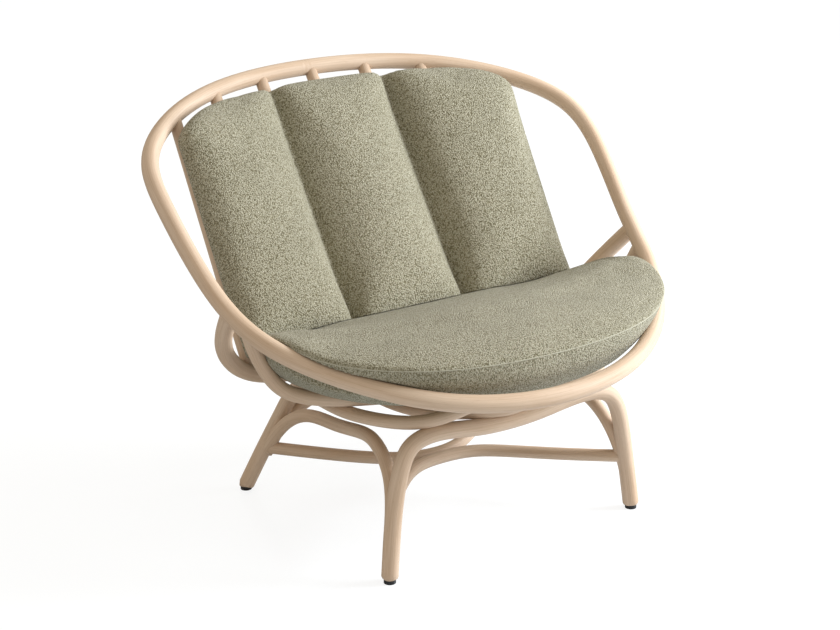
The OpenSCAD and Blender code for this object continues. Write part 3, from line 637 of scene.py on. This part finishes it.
def nearest(points, line):
    """For each point the distance to the nearest point of a line, and its index."""
    tree = kdtree.KDTree(len(line))
    for i, p in enumerate(line):
        tree.insert(Vector(p), i)
    tree.balance()
    found = [tree.find(Vector(p)) for p in points]
    return np.array([f[2] for f in found]), np.array([f[1] for f in found])


# Rooms in metres between a cushion and the hoop, a pole or the other cushion
HOOP_ROOM, ROOM = 0.0015, 0.001
# The share of the room over the hoop's axis up to which the seat stays inside the hoop
INSIDE_TO, FINE_STEPS = 0.85, 40


def clear_of_hoop(obj):
    """Keeps the seat cushion inside the hoop up to near its top, and over it above that."""
    co = points_of(obj)
    line = mm(curve(ring_of(HOOP), True, FINE_STEPS))
    level = line * (1, 1, 0)
    _, index = nearest(co * (1, 1, 0), level)
    near = line[index]
    along = np.roll(line, -1, 0) - np.roll(line, 1, 0)
    out = np.stack([along[:, 1], -along[:, 0], 0 * along[:, 0]], 1)
    out = unit(out) * np.sign((out * (level - level.mean(0))).sum(1))[:, None]
    out = out[index]
    s = ((co - near) * out).sum(1)
    h = co[:, 2] - near[:, 2]
    room = HOOP_D / 2000 + HOOP_ROOM
    inner = np.sqrt(np.maximum(room ** 2 - np.maximum(h, 0) ** 2, 0))
    below = (h < INSIDE_TO * room) & (s > -inner)
    co[below] -= out[below] * (s + inner)[below][:, None]
    over = (h >= INSIDE_TO * room) & (np.hypot(s, h) < room)
    grow = room / np.maximum(np.hypot(s, h), 1e-6)
    co[over] += out[over] * (s * (grow - 1))[over][:, None]
    co[over, 2] += (h * (grow - 1))[over]
    set_points(obj, co)


def push_off(co, line, radius):
    """Moves the points that are nearer to a line than radius out to that distance."""
    reach = radius + 0.002
    near_it = ((co > line.min(0) - reach) & (co < line.max(0) + reach)).all(1)
    index = np.nonzero(near_it)[0]
    p = co[index]
    best = np.full(len(p), 9.0)
    foot = p.copy()
    for a, b in zip(line[:-1], line[1:]):
        d = b - a
        t = np.clip((p - a) @ d / (d @ d), 0, 1)
        c = a + t[:, None] * d
        far = np.linalg.norm(p - c, axis=1)
        closer = far < best
        best[closer], foot[closer] = far[closer], c[closer]
    inside = (best < radius) & (best > 1e-6)
    out = (p - foot)[inside] / best[inside][:, None]
    co[index[inside]] = foot[inside] + out * radius


def clear_of_poles(obj):
    """Presses a cushion in where a sling, a spindle or a seat rod would stand in it."""
    co = points_of(obj)
    push_off(co, mm(front_sling), FRONT_SLING_D / 2000 + ROOM)
    push_off(co, mm(rear_sling), REAR_SLING_D / 2000 + ROOM)
    for place in SPINDLES.values():
        push_off(co, mm(spindle_line(place * SPINDLE_STEP)), SPINDLE_D / 2000 + ROOM)
    for place in SEAT_RODS.values():
        push_off(co, mm(seat_rod_line(place * SEAT_ROD_STEP)), SEAT_ROD_D / 2000 + ROOM)
    set_points(obj, co)


def tree_of(obj):
    return BVHTree.FromPolygons([v.co for v in obj.data.vertices],
                                [p.vertices for p in obj.data.polygons])


def clear_of_solid(obj, other, room, deepest):
    """Moves the points of a cushion that lie inside another, down to deepest, to its surface."""
    tree = tree_of(other)
    taken = points_of(other)
    low, high = taken.min(0), taken.max(0)
    co = points_of(obj)
    for i in np.nonzero(((co > low - room) & (co < high + room)).all(1))[0]:
        p = Vector(co[i])
        place, normal, _, far = tree.find_nearest(p)
        if (p - place).dot(normal) < room and far < deepest:
            co[i] = place + normal * room
    set_points(obj, co)


# In metres: the remesh's sizes, and how far the held strip reaches from the seam or a groove
SEAT_VOXEL, BACK_VOXEL = 0.006, 0.0055
SEAM_HELD, GROOVE_HELD, DEEPEST = 0.012, 0.014, 0.03
# In millimetres: the height over the slings up to which the seat's underside is held
UNDER_H = 4

rings, seam_line = seat_rings(DRAW_IN)
seat = closed_form("seat_cushion", rings, ["seat_cover", "seat_core"])
remesh(seat, SEAT_VOXEL)
soften(seat, 3)
co = points_of(seat)
seam_far, _ = nearest(co, mm(seam_line))
low = co[:, 2] < (slings_floor(co[:, 1] * 1000 + MIDDLE_Y) + UNDER_H) / 1000
inflate(seat, np.where(low, 1.0, np.clip(1.2 - seam_far / SEAM_HELD, 0, 1)))
subdivide(seat)
for _ in range(2):
    clear_of_hoop(seat)
    soften(seat, 2)
clear_of_hoop(seat)
clear_of_poles(seat)

# The seam's radius in millimetres, and its lift off the seat in metres
SEAM_R, SEAM_LIFT = 1.2, 0.0003
tree = tree_of(seat)
laid = [tree.find_nearest(Vector(p)) for p in mm(seam_line)]
laid = np.array([place + normal * SEAM_LIFT for place, normal, _, _ in laid])
for _ in range(4):
    laid = (np.roll(laid, 1, 0) + 2 * laid + np.roll(laid, -1, 0)) / 4
tube("seat_seam", laid * 1000 + (0, MIDDLE_Y, 0), SEAM_R, (0, 0, 1), closed=True, sewn=True)

# Back cushion: its width and place, its thickness before and behind its middle sheet, with the
# least of each, and the heights of its foot and head, which drops and narrows at the corners
BACK_W, SETBACK, PUFF, BEHIND, BEHIND_IN = 772, 25, 68, 10, 2
LEAST_FRONT, LEAST_REAR = 4, 5
BACK_FOOT_Z, BACK_HEAD_Z, HEAD_DROP, FOOT_NARROWER = 345, 731, 34, 6
# The sheet's shares of the width and height that the cushion takes up
U_SHARE, V_START, V_SHARE = 0.996, -0.03, 1.028
BACK_COLUMNS, BACK_ROWS = 96, 40
GROOVES = (-1 / 3, 1 / 3)


def back_sheet(u, v):
    """A point of the back cushion's middle sheet, and the way out of its front."""
    half = BACK_W / 2
    foot, top = spindle_line(u * half)
    head_z = BACK_HEAD_Z - HEAD_DROP * abs(u) ** 10
    z = BACK_FOOT_Z + (head_z - BACK_FOOT_Z) * v
    p = foot + (top - foot) * (z - foot[2]) / (top[2] - foot[2])
    way = unit(top - foot)
    x = p[0] * (1 - FOOT_NARROWER / half * (1 - v) ** 2)
    return np.array([x, p[1] - SETBACK, z]), np.array([0, -way[2], way[1]])


def back_rings(draw_in):
    """The back cushion's outer form as rings from its foot to its head, in three channels."""
    rings = []
    for r in range(BACK_ROWS + 1):
        v = 0.5 - 0.5 * math.cos(math.pi * r / BACK_ROWS)
        to_end = abs(2 * v - 1)
        drawn = 0.45 + 0.55 * math.sqrt(1 - to_end ** 5)
        front, rear = [], []
        for i in range(BACK_COLUMNS + 1):
            u = -1 + 2 * i / BACK_COLUMNS
            across = ((u + 1) * 1.5) % 1 * 2 - 1
            swell = max(1 - abs(across) ** (2.1 + 6 * to_end ** 6), 0) ** 0.6
            p, out = back_sheet(u * U_SHARE, V_START + V_SHARE * v)
            front.append(p + out * max((PUFF - draw_in) * swell * drawn, LEAST_FRONT))
            rear.append(p - out * max((BEHIND - BEHIND_IN) * swell * drawn, LEAST_REAR))
        rings.append(np.array(front + rear[::-1]))
    return rings


back = closed_form("back_cushion", back_rings(DRAW_IN),
                   ["back_cover", "left_back_filling", "middle_back_filling",
                    "right_back_filling"], flat=True)
remesh(back, BACK_VOXEL)
co = points_of(back)
groove = [back_sheet(u, v)[0] for u in GROOVES for v in np.linspace(0, 1, 120)]
groove_far, _ = nearest(co, mm(groove))
held = np.clip(1.5 - groove_far / GROOVE_HELD, 0, 1)
soften(back, 4, held * 0.7)
inflate(back, held)
subdivide(back)
clear_of_poles(back)
clear_of_solid(back, seat, ROOM, DEEPEST)

# Floor, light and camera
floor_mesh = bpy.data.meshes.new("floor")
floor_mesh.from_pydata([(-30, -30, 0), (30, -30, 0), (30, 30, 0), (-30, 30, 0)], [],
                       [(0, 1, 2, 3)])
floor = bpy.data.objects.new("floor", floor_mesh)
bpy.context.scene.collection.objects.link(floor)
paint, tree, shader = material("floor", 0.22, 0.5)
shader.inputs["Base Color"].default_value = (0.71, 0.75, 0.8, 1)
glow = tree.nodes.new("ShaderNodeEmission")
glow.inputs["Color"].default_value = (1, 1, 1, 1)
glow.inputs["Strength"].default_value = 1.24
path = tree.nodes.new("ShaderNodeLightPath")
whiter = tree.nodes.new("ShaderNodeMath")
whiter.operation = "MULTIPLY"
whiter.inputs[1].default_value = 0.66
pick = tree.nodes.new("ShaderNodeMixShader")
tree.links.new(path.outputs["Is Camera Ray"], whiter.inputs[0])
tree.links.new(whiter.outputs[0], pick.inputs[0])
tree.links.new(shader.outputs[0], pick.inputs[1])
tree.links.new(glow.outputs[0], pick.inputs[2])
tree.links.new(pick.outputs[0], tree.nodes["Material Output"].inputs[0])
floor_mesh.materials.append(paint)

world = bpy.data.worlds.new("studio")
bpy.context.scene.world = world
world.use_nodes = True
tree = world.node_tree
light = tree.nodes["Background"]
light.inputs["Color"].default_value = (1, 0.94, 0.83, 1)
light.inputs["Strength"].default_value = 0.7
shown = tree.nodes.new("ShaderNodeBackground")
shown.inputs["Color"].default_value = (1, 1, 1, 1)
shown.inputs["Strength"].default_value = 1.0
path = tree.nodes.new("ShaderNodeLightPath")
pick = tree.nodes.new("ShaderNodeMixShader")
tree.links.new(path.outputs["Is Camera Ray"], pick.inputs[0])
tree.links.new(light.outputs[0], pick.inputs[1])
tree.links.new(shown.outputs[0], pick.inputs[2])
tree.links.new(pick.outputs[0], tree.nodes["World Output"].inputs[0])

lamp = bpy.data.lights.new("key", "AREA")
lamp.energy = 200
lamp.size = 1.6
lamp.color = (0.88, 0.94, 1)
key = bpy.data.objects.new("key", lamp)
key.location = (2.7, -1.45, 1.75)
aim = Vector((0, 0, 0.4)) - key.location
key.rotation_euler = aim.to_track_quat("-Z", "Y").to_euler()
bpy.context.scene.collection.objects.link(key)

camera = bpy.data.cameras.new("camera")
camera.lens = 80.64
camera.sensor_width = 36
view = bpy.data.objects.new("camera", camera)
view.location = (-1.8646, -2.7874, 1.5834)
aim = Vector((-0.0052, 0.0155, 0.3539)) - view.location
view.rotation_euler = aim.to_track_quat("-Z", "Y").to_euler()
bpy.context.scene.collection.objects.link(view)
bpy.context.scene.camera = view
bpy.context.scene.view_settings.view_transform = "Standard"
